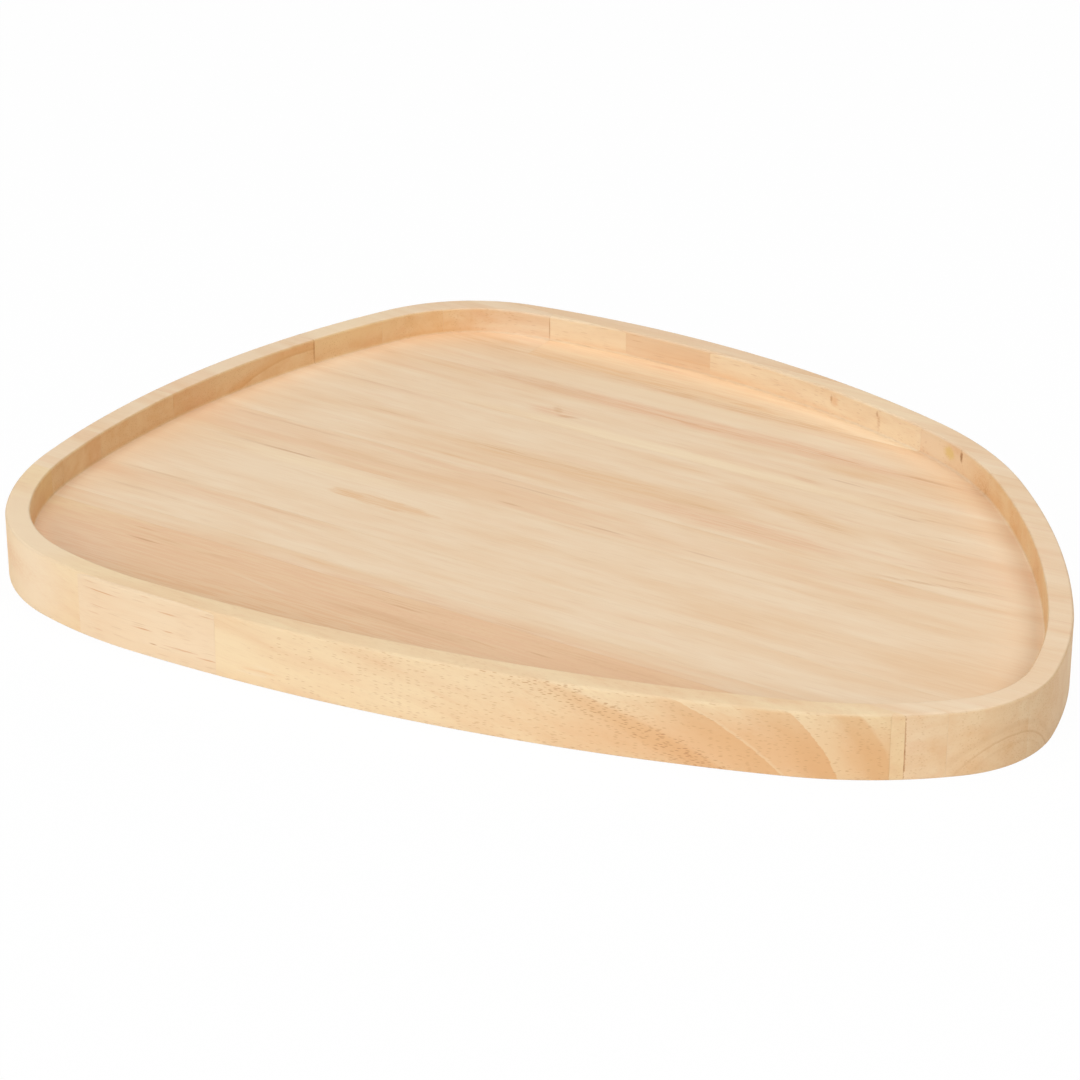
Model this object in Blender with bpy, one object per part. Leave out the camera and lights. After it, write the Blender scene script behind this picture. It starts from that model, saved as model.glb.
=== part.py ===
"""Shallow wooden tray: a panel of edge-glued staves, cut to a pebble outline and milled out in one pocket.

Metres, +Z up. The grain runs along X and the front of the tray faces -Y. The underside rests on
z = 0, and the middle of the outline's box is on the Z axis.
"""

import math

import bmesh
import bpy
from mathutils import Matrix, Vector

MM = 0.001

# The board, its pocket and the softened edges.
HEIGHT = 24.2 * MM
RIM_WIDTH = 9.0 * MM
POCKET_DEPTH = 10.4 * MM
TOP_OUTER_ROUND = 1.0 * MM
TOP_INNER_ROUND = 0.9 * MM
UNDERSIDE_ROUND = 0.4 * MM
WALL_FOOT_RADIUS = 1.0 * MM
ROUND_STEPS = 3

# The outline is a closed chain of arcs, each tangent to the next, that runs anticlockwise.
# Each arc has the angle that it turns through and its radius. The two radii left open close the chain.
FIRST_NORMAL_DEG = 26.7
OUTLINE_ARCS = (
    (18.3, 326.5 * MM),  # shoulder, back right
    (25.7, 131.5 * MM),
    (29.2, None),  # long back edge
    (55.2, 64.0 * MM),  # back left corner
    (32.4, 333.5 * MM),  # left end
    (27.5, 99.0 * MM),
    (40.6, 63.0 * MM),  # front left corner
    (15.0, 167.0 * MM),
    (20.2, None),  # long front edge
    (23.7, 144.5 * MM),
    (55.8, 45.5 * MM),  # tight nose, front right
    (16.4, 169.0 * MM),
)
CHORD_ERROR = 0.03 * MM

# The panel before it is cut: planks between glue lines that run along X, listed front to back.
PANEL_LENGTH = 410.0 * MM
PANEL_FRONT = -156.0 * MM
PANEL_BACK = 156.0 * MM
GLUE_LINES = tuple(y * MM for y in (-148.5, -86.5, -77.5, -51.7, -7.6, 16.2, 66.3, 97.0, 120.0, 140.4))
GLUE_GAP = 0.3 * MM

# Two of the planks are two boards, end to end, that meet at this X.
FRONT_BUTT_JOINT = 166.3 * MM
BACK_BUTT_JOINT = -108.3 * MM

# Wood tones, linear: pale sapwood, honey, tan and the warmer boards.
CREAM = (0.80, 0.62, 0.41)
PALE_HONEY = (0.79, 0.58, 0.34)
HONEY = (0.75, 0.49, 0.23)
TAN = (0.72, 0.48, 0.27)
ORANGE_TAN = (0.70, 0.42, 0.18)
WOOD_ROUGHNESS = 0.48

# Name, plank counted from the front, the board's ends along X (None is the panel's end) and tone.
BOARDS = (
    ("stave_01", 0, None, None, CREAM),
    ("stave_02a", 1, None, FRONT_BUTT_JOINT, HONEY),
    ("stave_02b", 1, FRONT_BUTT_JOINT, None, CREAM),
    ("stave_03", 2, None, None, PALE_HONEY),
    ("stave_04", 3, None, None, CREAM),
    ("stave_05", 4, None, None, PALE_HONEY),
    ("stave_06", 5, None, None, CREAM),
    ("stave_07", 6, None, None, PALE_HONEY),
    ("stave_08", 7, None, None, CREAM),
    ("stave_09", 8, None, None, TAN),
    ("stave_10a", 9, None, BACK_BUTT_JOINT, ORANGE_TAN),
    ("stave_10b", 9, BACK_BUTT_JOINT, None, PALE_HONEY),
    ("stave_11", 10, None, None, TAN),
)


def clear_scene():
    for old in list(bpy.data.objects):
        bpy.data.objects.remove(old, do_unlink=True)


def direction(angle):
    return Vector((math.cos(angle), math.sin(angle)))


def closed_arcs():
    """The outline's arcs as (first normal angle, last normal angle, radius), with the open radii solved."""
    spans = []
    angle = math.radians(FIRST_NORMAL_DEG)
    for turn, radius in OUTLINE_ARCS:
        after = angle + math.radians(turn)
        spans.append((angle, after, radius))
        angle = after
    # An arc moves the pen by its radius times the change of its normal, and all the moves add up to zero.
    known = Vector((0.0, 0.0))
    open_moves = []
    for first, last, radius in spans:
        change = direction(last) - direction(first)
        if radius is None:
            open_moves.append(change)
        else:
            known += radius * change
    left, right = open_moves
    solved = list(Matrix(((left.x, right.x), (left.y, right.y))).inverted() @ -known)
    return [(first, last, solved.pop(0) if radius is None else radius) for first, last, radius in spans]


def outline():
    """Points and outward normals round the tray, spaced so that no chord strays from its arc."""
    arcs = closed_arcs()
    centre = Vector((0.0, 0.0))
    points = []
    for i, (first, last, radius) in enumerate(arcs):
        widest_step = math.sqrt(8 * CHORD_ERROR / radius)
        steps = math.ceil((last - first) / widest_step)
        for k in range(steps):
            normal = direction(first + (last - first) * k / steps)
            points.append((centre + radius * normal, normal))
        next_radius = arcs[(i + 1) % len(arcs)][2]
        centre = centre + (radius - next_radius) * direction(last)
    xs = [point.x for point, normal in points]
    ys = [point.y for point, normal in points]
    middle = Vector((min(xs) + max(xs), min(ys) + max(ys))) / 2
    return [(point - middle, normal) for point, normal in points]


def quarter_round(inset, height, radius, start_deg):
    """A quarter circle in the wall's section, turning clockwise from start_deg."""
    angles = [math.radians(start_deg - 90 * k / ROUND_STEPS) for k in range(ROUND_STEPS + 1)]
    return [(inset + radius * math.cos(a), height + radius * math.sin(a)) for a in angles]


def wall_section():
    """The rim's section as (inset from the outline, height), from the underside over the rim to the floor."""
    floor = HEIGHT - POCKET_DEPTH
    foot = RIM_WIDTH + WALL_FOOT_RADIUS
    section = quarter_round(UNDERSIDE_ROUND, UNDERSIDE_ROUND, UNDERSIDE_ROUND, 270)
    section += quarter_round(TOP_OUTER_ROUND, HEIGHT - TOP_OUTER_ROUND, TOP_OUTER_ROUND, 180)
    section += quarter_round(RIM_WIDTH - TOP_INNER_ROUND, HEIGHT - TOP_INNER_ROUND, TOP_INNER_ROUND, 90)
    section += reversed(quarter_round(foot, floor + WALL_FOOT_RADIUS, WALL_FOOT_RADIUS, 270))
    return section


def tray_form():
    """The finished tray as one body, which the boards are milled to."""
    round_tray = outline()
    bm = bmesh.new()
    rings = []
    for inset, height in wall_section():
        ring = [bm.verts.new((*(point - inset * normal), height)) for point, normal in round_tray]
        rings.append(ring)
    for lower, upper in zip(rings, rings[1:]):
        for i in range(len(lower)):
            j = (i + 1) % len(lower)
            wall = bm.faces.new((lower[i], lower[j], upper[j], upper[i]))
            wall.smooth = lower[i].co.z != upper[i].co.z
    bm.faces.new(rings[0])
    bm.faces.new(rings[-1])
    bmesh.ops.recalc_face_normals(bm, faces=bm.faces)
    mesh = bpy.data.meshes.new("tray_form")
    bm.to_mesh(mesh)
    bm.free()
    form = bpy.data.objects.new("tray_form", mesh)
    form.hide_render = True
    form.display_type = "WIRE"
    bpy.context.scene.collection.objects.link(form)
    return form


def wood(name, tone):
    material = bpy.data.materials.new(name)
    material.use_nodes = True
    shader = material.node_tree.nodes["Principled BSDF"]
    shader.inputs["Base Color"].default_value = (*tone, 1.0)
    shader.inputs["Roughness"].default_value = WOOD_ROUGHNESS
    shader.inputs["Metallic"].default_value = 0.0
    material.diffuse_color = (*tone, 1.0)
    return material


def board(name, x_ends, y_ends, tone):
    """A square-edged board, with half of the glue gap taken off each side, and its milling by the tray form."""
    size = Vector((x_ends[1] - x_ends[0], y_ends[1] - y_ends[0], HEIGHT)) - Vector((GLUE_GAP, GLUE_GAP, 0.0))
    bm = bmesh.new()
    bmesh.ops.create_cube(bm, size=1.0)
    bmesh.ops.scale(bm, vec=size + Vector((0.0, 0.0, 2 * MM)), verts=bm.verts)
    mesh = bpy.data.meshes.new(name)
    bm.to_mesh(mesh)
    bm.free()
    mesh.materials.append(wood(name, tone))
    plank = bpy.data.objects.new(name, mesh)
    plank.location = (sum(x_ends) / 2, sum(y_ends) / 2, HEIGHT / 2)
    bpy.context.scene.collection.objects.link(plank)
    return plank


def mill(plank, form):
    milling = plank.modifiers.new("Milled to the tray form", "BOOLEAN")
    milling.operation = "INTERSECT"
    milling.solver = "EXACT"
    milling.object = form


def main():
    clear_scene()
    form = tray_form()
    plank_edges = (PANEL_FRONT, *GLUE_LINES, PANEL_BACK)
    for name, plank, left, right, tone in BOARDS:
        left_end = -PANEL_LENGTH / 2 if left is None else left
        right_end = PANEL_LENGTH / 2 if right is None else right
        piece = board(name, (left_end, right_end), plank_edges[plank : plank + 2], tone)
        mill(piece, form)


main()
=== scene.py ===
"""Looks of the shallow wooden tray: the staves of its glued panel, with their grain, pores and glue lines.

Metres, +Z up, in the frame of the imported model. The grain runs along X and the tray's front faces -Y.
"""

import math

import bmesh
import bpy
from mathutils import Matrix, Vector


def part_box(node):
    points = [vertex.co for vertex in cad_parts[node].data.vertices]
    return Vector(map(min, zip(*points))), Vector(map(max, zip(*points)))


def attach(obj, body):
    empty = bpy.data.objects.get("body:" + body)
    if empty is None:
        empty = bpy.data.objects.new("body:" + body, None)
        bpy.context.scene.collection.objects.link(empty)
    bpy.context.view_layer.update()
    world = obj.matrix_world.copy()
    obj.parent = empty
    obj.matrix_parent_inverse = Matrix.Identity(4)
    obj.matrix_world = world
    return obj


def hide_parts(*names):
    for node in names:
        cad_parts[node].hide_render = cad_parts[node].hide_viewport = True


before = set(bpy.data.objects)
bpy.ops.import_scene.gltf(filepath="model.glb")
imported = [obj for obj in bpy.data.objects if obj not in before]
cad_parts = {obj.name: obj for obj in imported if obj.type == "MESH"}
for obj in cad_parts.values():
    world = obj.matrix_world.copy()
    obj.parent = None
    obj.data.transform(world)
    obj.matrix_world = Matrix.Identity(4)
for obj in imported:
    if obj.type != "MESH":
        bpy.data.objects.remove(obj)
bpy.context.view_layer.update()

MM = 0.001

# The panel. Staves of rubberwood are glued edge to edge, the panel is sawn to a pebble outline, and a
# router sinks one pocket into it, which leaves a rim of even width. The edges are rounded over and sanded.
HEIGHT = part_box("stave_05")[1].z
RIM_WIDTH = 9.0 * MM
POCKET_DEPTH = 10.4 * MM
TOP_OUTER_ROUND = 1.0 * MM
TOP_INNER_ROUND = 0.9 * MM
UNDERSIDE_ROUND = 0.4 * MM
WALL_FOOT_RADIUS = 1.0 * MM
ROUND_STEPS = 5
CHORD_ERROR = 0.006 * MM
CLOSING_GAP = 0.02 * MM

# The outline's arcs run anticlockwise, each tangent to the next: the angle it turns and its radius.
# The two radii left open close the chain.
FIRST_NORMAL_DEG = 26.7
OUTLINE_ARCS = (
    (18.3, 326.5 * MM),  # shoulder, back right
    (25.7, 131.5 * MM),
    (29.2, None),  # long back edge
    (55.2, 64.0 * MM),  # back left corner
    (32.4, 333.5 * MM),  # left end
    (27.5, 99.0 * MM),
    (40.6, 63.0 * MM),  # front left corner
    (15.0, 167.0 * MM),
    (20.2, None),  # long front edge
    (23.7, 144.5 * MM),
    (55.8, 45.5 * MM),  # tight nose, front right
    (16.4, 169.0 * MM),
)


def direction(angle):
    return Vector((math.cos(angle), math.sin(angle), 0.0))


def closed_arcs():
    """The arcs as (first normal angle, turn, radius), with the two open radii solved."""
    arcs = []
    angle = math.radians(FIRST_NORMAL_DEG)
    for turn_deg, radius in OUTLINE_ARCS:
        arcs.append((angle, math.radians(turn_deg), radius))
        angle += math.radians(turn_deg)
    # An arc moves the pen by its radius times the change of its normal, and all the moves add up to zero.
    known = Vector((0.0, 0.0))
    open_moves = []
    for first, turn, radius in arcs:
        change = (direction(first + turn) - direction(first)).to_2d()
        if radius is None:
            open_moves.append(change)
        else:
            known += radius * change
    left, right = open_moves
    solved = list(Matrix(((left.x, right.x), (left.y, right.y))).inverted() @ -known)
    return [(first, turn, solved.pop(0) if radius is None else radius) for first, turn, radius in arcs]


def ring_edges(bm, ring):
    """The edges that join two corners of one ring."""
    return [edge for edge in bm.edges if edge.verts[0] in ring and edge.verts[1] in ring]


def only_faces(result):
    return [item for item in result["geom"] if isinstance(item, bmesh.types.BMFace)]


def sawn_outline():
    """The outline as one ring, spun arc by arc, with the middle of its box on the Z axis."""
    bm = bmesh.new()
    pen = bm.verts.new((0.0, 0.0, 0.0))
    for first, turn, radius in closed_arcs():
        centre = pen.co - radius * direction(first)
        steps = math.ceil(turn / math.sqrt(8 * CHORD_ERROR / radius))
        spun = bmesh.ops.spin(bm, geom=[pen], cent=centre, axis=(0.0, 0.0, 1.0), angle=turn, steps=steps)
        pen = next(item for item in spun["geom_last"] if isinstance(item, bmesh.types.BMVert))
    bmesh.ops.remove_doubles(bm, verts=bm.verts, dist=CLOSING_GAP)
    xs = [vertex.co.x for vertex in bm.verts]
    ys = [vertex.co.y for vertex in bm.verts]
    middle = Vector((min(xs) + max(xs), min(ys) + max(ys), 0.0)) / 2
    bmesh.ops.translate(bm, vec=-middle, verts=bm.verts)
    return bm


def milled_panel():
    """The whole tray as one body: its outline raised, inset, sunk and rounded over."""
    bm = sawn_outline()
    underside = bmesh.ops.contextual_create(bm, geom=bm.edges[:])["faces"]
    top = only_faces(bmesh.ops.extrude_face_region(bm, geom=underside))
    bmesh.ops.translate(bm, vec=(0.0, 0.0, HEIGHT), verts=top[0].verts)
    rim = bmesh.ops.inset_region(
        bm, faces=top, thickness=RIM_WIDTH, use_even_offset=True, use_boundary=True
    )
    mouth = set(top[0].verts)
    brim = {vertex for face in rim["faces"] for vertex in face.verts} - mouth
    floor = only_faces(bmesh.ops.extrude_face_region(bm, geom=top))
    bmesh.ops.delete(bm, geom=top, context="FACES_ONLY")
    bmesh.ops.translate(bm, vec=(0.0, 0.0, -POCKET_DEPTH), verts=floor[0].verts)

    rounds = (
        (set(underside[0].verts), UNDERSIDE_ROUND),
        (brim, TOP_OUTER_ROUND),
        (mouth, TOP_INNER_ROUND),
        (set(floor[0].verts), WALL_FOOT_RADIUS),
    )
    for ring, radius in rounds:
        edges = ring_edges(bm, ring)
        bmesh.ops.bevel(
            bm, geom=edges, offset=radius, segments=ROUND_STEPS, profile=0.5, affect="EDGES", material=-1
        )
    bmesh.ops.recalc_face_normals(bm, faces=bm.faces)
    return bm


panel = milled_panel()

# The thin front stave. It was the outermost strip of the panel, and the outline left only a sliver of it,
# which shows on the front wall: pale sapwood with a few long reddish pores.

# Each stave is sawn this much short of its glue lines, which leaves a hairline between two of them.
SEAM_ALLOWANCE = 0.02 * MM
SAW_TOLERANCE = 0.0001 * MM
SHARP_ANGLE_DEG = 35.0
X = Vector((1.0, 0.0, 0.0))
Y = Vector((0.0, 1.0, 0.0))

# No part of the tray is this far from its middle, in millimetres.
PAST_TRAY = 300.0

# Wood tones, linear.
WHITE_SAP = (0.87, 0.70, 0.48)
IVORY = (0.84, 0.665, 0.47)
CREAM = (0.82, 0.635, 0.43)
SAPWOOD = (0.835, 0.65, 0.41)
TAN = (0.76, 0.505, 0.295)
HONEY = (0.755, 0.44, 0.215)
BLUSH = (0.765, 0.485, 0.30)
AMBER = (0.71, 0.40, 0.18)
STREAK_BROWN = (0.64, 0.39, 0.21)
RED_DASH = (0.62, 0.30, 0.14)
PORE_BROWN = (0.48, 0.23, 0.10)
GLUE_BROWN = (0.30, 0.12, 0.03)
OLIVE_PATCH = (0.76, 0.57, 0.25)


def feed(tree, socket, value):
    """Fills a socket with another node's output or with a value. A colour without an alpha gets one."""
    if isinstance(value, bpy.types.NodeSocket):
        tree.links.new(value, socket)
    elif socket.type == "RGBA" and len(value) == 3:
        socket.default_value = (*value, 1.0)
    else:
        socket.default_value = value


def lay(tree, kind, sockets, output=0, **options):
    """Lays a node, feeds its sockets, and returns one of its outputs."""
    node = tree.nodes.new(kind)
    for option, value in options.items():
        setattr(node, option, value)
    for socket, value in sockets.items():
        feed(tree, node.inputs[socket], value)
    return node.outputs[output]


def maths(tree, operation, first, second=0.0, third=0.0):
    return lay(tree, "ShaderNodeMath", {0: first, 1: second, 2: third}, operation=operation)


def vectors(tree, operation, first, second):
    return lay(tree, "ShaderNodeVectorMath", {0: first, 1: second}, operation=operation)


def scaled(tree, vector, factor):
    return lay(tree, "ShaderNodeVectorMath", {0: vector, "Scale": factor}, operation="SCALE")


def length(tree, vector):
    return lay(tree, "ShaderNodeVectorMath", {0: vector}, "Value", operation="LENGTH")


def component(tree, vector, axis):
    return lay(tree, "ShaderNodeSeparateXYZ", {0: vector}, axis)


def ease(tree, value, low, high):
    """0 at low and 1 at high, with a smooth rise between them."""
    sockets = {"Value": value, "From Min": low, "From Max": high}
    return lay(tree, "ShaderNodeMapRange", sockets, interpolation_type="SMOOTHSTEP")


def between(tree, value, low, high, low_blur, high_blur):
    """1 from low to high, and 0 from a blur's width outside them."""
    rise = ease(tree, value, maths(tree, "SUBTRACT", low, low_blur), low)
    fall = ease(tree, value, maths(tree, "ADD", high, high_blur), high)
    return maths(tree, "MULTIPLY", rise, fall)


def blend(tree, share, below, above):
    """Lays one colour over another."""
    node = tree.nodes.new("ShaderNodeMix")
    node.data_type = "RGBA"
    colours = [socket for socket in node.inputs if socket.type == "RGBA"]
    for socket, value in zip((node.inputs[0], *colours), (share, below, above)):
        feed(tree, socket, value)
    return next(socket for socket in node.outputs if socket.type == "RGBA")


def grain_noise(tree, place, along, across, detail):
    """Noise in spots of about these lengths, in millimetres, along and across the grain."""
    stretched = vectors(tree, "DIVIDE", place, (along, across, across))
    return lay(tree, "ShaderNodeTexNoise", {"Vector": stretched, "Scale": 1.0, "Detail": detail})


def flecks(tree, place, kind):
    """Where the flecks of one kind are: 0 between them and 1 in their middles."""
    along, across, detail, start, full = kind
    return ease(tree, grain_noise(tree, place, along, across, detail), start, full)


def grain_shift(tree, place, along, across):
    """A shift of up to about half a unit each way, that changes over these lengths, in millimetres."""
    stretched = vectors(tree, "DIVIDE", place, (along, across, across))
    noise = lay(tree, "ShaderNodeTexNoise", {"Vector": stretched, "Scale": 1.0, "Detail": 2.0}, "Color")
    return vectors(tree, "SUBTRACT", noise, (0.5, 0.5, 0.5))


def wander(tree, place, along, across, reach):
    """A shift across the grain alone, up to about half of reach each way."""
    return vectors(tree, "MULTIPLY", grain_shift(tree, place, along, across), (0.0, reach, reach))


def new_group(name, inputs, outputs):
    """A node group with named sockets. Returns its tree, what comes in, and where its results go."""
    tree = bpy.data.node_groups.new(name, "ShaderNodeTree")
    for socket, value in inputs.items():
        count = len(value) if isinstance(value, tuple) else 1
        kind = {1: "NodeSocketFloat", 3: "NodeSocketVector", 4: "NodeSocketColor"}[count]
        tree.interface.new_socket(socket, in_out="INPUT", socket_type=kind).default_value = value
    for socket, kind in outputs.items():
        tree.interface.new_socket(socket, in_out="OUTPUT", socket_type=kind)
    return tree, tree.nodes.new("NodeGroupInput").outputs, tree.nodes.new("NodeGroupOutput").inputs


def place_in_mm(tree):
    return scaled(tree, lay(tree, "ShaderNodeTexCoord", {}, "Object"), 1 / MM)


def ring_radius(tree, place, pith_y, pith_z):
    """How far a point is from the middle of its log, whose pith runs along X."""
    across = maths(tree, "SUBTRACT", component(tree, place, "Y"), pith_y)
    up = maths(tree, "SUBTRACT", component(tree, place, "Z"), pith_z)
    return length(tree, lay(tree, "ShaderNodeCombineXYZ", {"X": across, "Y": up}))


# How far apart in the noise two staves lie whose seeds differ by one, and the grain's slow wander: its
# length and width, and how far it goes. All are in millimetres.
SEED_STRIDE = (97.0, 41.0, 29.0)
SLOW_WANDER = (130.0, 50.0, 6.0)


def seeded(tree, place, seed):
    return vectors(tree, "ADD", place, scaled(tree, SEED_STRIDE, seed))


def straight_grain(tree, given):
    """Places in a stave, with the grain's dive, bend and wander taken out, without its seed and with it."""
    place = place_in_mm(tree)
    x = component(tree, place, "X")
    past_bend = maths(tree, "MAXIMUM", maths(tree, "SUBTRACT", x, given["Bend From"]), 0.0)
    bend = scaled(tree, given["Bend"], maths(tree, "MULTIPLY", past_bend, past_bend))
    dive = lay(tree, "ShaderNodeCombineXYZ", {"Z": maths(tree, "MULTIPLY", x, given["Dive"])})
    unseeded = vectors(tree, "SUBTRACT", vectors(tree, "SUBTRACT", place, dive), bend)
    grain = seeded(tree, unseeded, given["Seed"])
    slow_wander = wander(tree, grain, *SLOW_WANDER)
    return vectors(tree, "ADD", unseeded, slow_wander), vectors(tree, "ADD", grain, slow_wander)


def facing(tree, axis):
    """How squarely a face looks along one axis, either way, from 0 when it is edge on to 1."""
    turned = component(tree, lay(tree, "ShaderNodeTexCoord", {}, "Normal"), axis)
    return maths(tree, "MULTIPLY", turned, turned)


# The figure's noises have a length and a width in millimetres and a detail. Those that make flecks also
# have the two levels of noise where a fleck starts and where it is full.
CLOUDS = (150.0, 13.0, 2.0, 0.40, 0.68)
STREAKS = (70.0, 2.2, 3.0, 0.48, 0.76)
BLUSHES = (90.0, 5.0, 3.0, 0.50, 0.74)
FIBRE_GRAIN = (14.0, 0.6, 2.0)
FIBRES = (*FIBRE_GRAIN, 0.50, 0.80)
MOTTLE = (30.0, 5.0, 3.0)
RING_LEVELS = (0.36, 0.66)

# The level of each noise that leaves the tone as it is, the shares that all staves have in common, and how
# far in the noise the blushes lie from the clouds.
RING_MIDDLE = 0.5
CLOUD_MIDDLE = 0.4
MOTTLE_MIDDLE = 0.25
MOTTLE_SHARE = 0.9
FIBRE_SHARE = 0.12
STREAK_FROM_CLOUD = 0.75
BLUSH_OFFSET = (311.0, 17.0, 5.0)


def rubberwood_figure():
    """Growth rings, clouds, streaks and fibres of one stave, all drawn out along its own grain.

    The grain climbs by Dive for each millimetre along X. Past Bend From it also curves away, by Bend times
    the square of the way past it.
    """
    inputs = {
        "Seed": 0.0,
        "Dive": 0.0,
        "Bend From": 95.0,
        "Bend": (0.0, 0.0007, 0.0),
        "Pith Y": 0.0,
        "Pith Z": -60.0,
        "Tone": 0.15,
        "Ring Width": 5.0,
        "Ring Share": 0.15,
        "Cloud Share": 0.35,
        "Streak Share": 0.3,
        "Blush Share": 0.3,
        "Pale": (*IVORY, 1.0),
        "Dark": (*TAN, 1.0),
    }
    tree, given, result = new_group("Rubberwood figure", inputs, {"Color": "NodeSocketColor"})
    unseeded, grain = straight_grain(tree, given)

    # Growth rings are faint. The tan clouds are broad, and most of the darker streaks lie inside them.
    radius = ring_radius(tree, unseeded, given["Pith Y"], given["Pith Z"])
    ring_step = maths(tree, "ADD", maths(tree, "DIVIDE", radius, given["Ring Width"]), given["Seed"])
    ring_noise = {"W": ring_step, "Scale": 1.0, "Detail": 2.0}
    rings = ease(tree, lay(tree, "ShaderNodeTexNoise", ring_noise, noise_dimensions="1D"), *RING_LEVELS)
    clouds = flecks(tree, grain, CLOUDS)
    in_clouds = maths(tree, "MULTIPLY_ADD", clouds, STREAK_FROM_CLOUD, 1.0 - STREAK_FROM_CLOUD)
    tones = (
        (maths(tree, "SUBTRACT", rings, RING_MIDDLE), given["Ring Share"]),
        (maths(tree, "SUBTRACT", grain_noise(tree, grain, *MOTTLE), MOTTLE_MIDDLE), MOTTLE_SHARE),
        (maths(tree, "SUBTRACT", clouds, CLOUD_MIDDLE), given["Cloud Share"]),
        (maths(tree, "MULTIPLY", flecks(tree, grain, STREAKS), in_clouds), given["Streak Share"]),
    )
    tone = given["Tone"]
    for darkness, share in tones:
        tone = maths(tree, "MULTIPLY_ADD", darkness, share, tone)
    colour = blend(tree, maths(tree, "MAXIMUM", tone, 0.0), given["Pale"], given["Dark"])

    # Pinkish streaks, and fine fibres a shade darker.
    blush = flecks(tree, vectors(tree, "ADD", grain, BLUSH_OFFSET), BLUSHES)
    colour = blend(tree, maths(tree, "MULTIPLY", blush, given["Blush Share"]), colour, BLUSH)
    fibres = maths(tree, "MULTIPLY", flecks(tree, grain, FIBRES), FIBRE_SHARE)
    tree.links.new(blend(tree, fibres, colour, PORE_BROWN), result["Color"])
    return tree


# Pores: how many millimetres the ring where they crowd is blurred, over how many they set in along X, and
# how far from its cell's middle a pore starts and is full.
CROWD_INNER_BLUR = 2.0
CROWD_OUTER_BLUR = 1.0
PORE_ONSET = 60.0
PORE_EDGE = (0.40, 0.16)

# Faces that look up are sanded finer, so pores and growth bands lose this share there. The pores start to
# lose it at the first of these two levels of facing, and have lost it at the second.
SANDED_AWAY = 0.85
SANDED_FACES = (0.4, 1.0)

# The oil: its tint in end grain, which the painted shade uses too, the share that end grain takes up, the
# painted shade that the recess adds to that share, and how much painted shade darkens the rounded edges to
# dampen their highlight. Below them, where a face starts to count as end grain or as one of the recess, and
# where it fully does.
OIL_AND_SHADE_TINT = (0.96, 0.84, 0.64)
OIL_IN_END_GRAIN = 0.65
RECESS_PAINTED_SHADE = 0.3
ROUND_PAINTED_SHADE = 0.36
END_FACES = (0.0, 0.6)
RECESS_FACES = (0.0, -60.0)

OILED_ROUGHNESS = 0.50
FIBRE_ROUGHNESS = 0.16
PORE_ROUGHNESS = 0.2
FIBRE_RELIEF = 0.5
PORE_RELIEF = 0.5


def sanded(tree, value, level):
    """Fades a value where a face looks up."""
    return maths(tree, "MULTIPLY", value, maths(tree, "MULTIPLY_ADD", level, -SANDED_AWAY, 1.0))


def pore_crowd(tree, given, place):
    """1 in the growth ring where the pores crowd together."""
    radius = ring_radius(tree, vectors(tree, "SUBTRACT", place, given["Crowd Pith"]), 0.0, 0.0)
    inner, outer = given["Crowd Inner"], given["Crowd Outer"]
    return between(tree, radius, inner, outer, CROWD_INNER_BLUR, CROWD_OUTER_BLUR)


def open_pores(tree, given, place, crowd):
    """The pores: drawn out level along the walls, round on the end grain, and one to a chosen cell."""
    start = given["Pores From"]
    onset = ease(tree, component(tree, place, "X"), start, maths(tree, "ADD", start, PORE_ONSET))
    share = maths(tree, "MULTIPLY", maths(tree, "ADD", given["Pore Share"], crowd), onset)
    grain = seeded(tree, place, given["Seed"])
    cells = {"Vector": vectors(tree, "DIVIDE", grain, given["Pore Size"]), "Scale": 1.0}
    lottery = lay(tree, "ShaderNodeTexVoronoi", cells, "Color")
    chosen = maths(tree, "LESS_THAN", lay(tree, "ShaderNodeSeparateColor", {0: lottery}), share)
    spots = ease(tree, lay(tree, "ShaderNodeTexVoronoi", cells), *PORE_EDGE)
    level = ease(tree, facing(tree, "Z"), *SANDED_FACES)
    return sanded(tree, maths(tree, "MULTIPLY", spots, chosen), level)


def oiled_and_shaded(tree, place, colour):
    """A stave's colours under a coat of oil, with painted shade in the recess and on the rounded edges.

    End grain drinks more of it than the other faces do. Inside the recess the end grain is darkened
    further, which is painted shade, and the rounded edges are darkened a little, a painted shade that
    dampens their highlight.
    """
    normal = lay(tree, "ShaderNodeTexCoord", {}, "Normal")
    outward = lay(tree, "ShaderNodeVectorMath", {0: normal, 1: place}, "Value", operation="DOT_PRODUCT")
    # End grain on faces in the recess that look towards the middle is darkened further: painted shade.
    in_recess = ease(tree, outward, *RECESS_FACES)
    oil_and_shade_share = maths(tree, "MULTIPLY_ADD", in_recess, RECESS_PAINTED_SHADE, OIL_IN_END_GRAIN)
    end_grain = ease(tree, facing(tree, "X"), *END_FACES)
    soaked_and_shaded = vectors(tree, "MULTIPLY", colour, OIL_AND_SHADE_TINT)
    colour = blend(tree, maths(tree, "MULTIPLY", end_grain, oil_and_shade_share), colour, soaked_and_shaded)
    # The rounded edges are darkened, a painted shade that dampens their highlight.
    level = facing(tree, "Z")
    rounded = maths(tree, "MULTIPLY", level, maths(tree, "SUBTRACT", 1.0, level))
    return scaled(tree, colour, maths(tree, "MULTIPLY_ADD", rounded, -ROUND_PAINTED_SHADE, 1.0))


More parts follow.
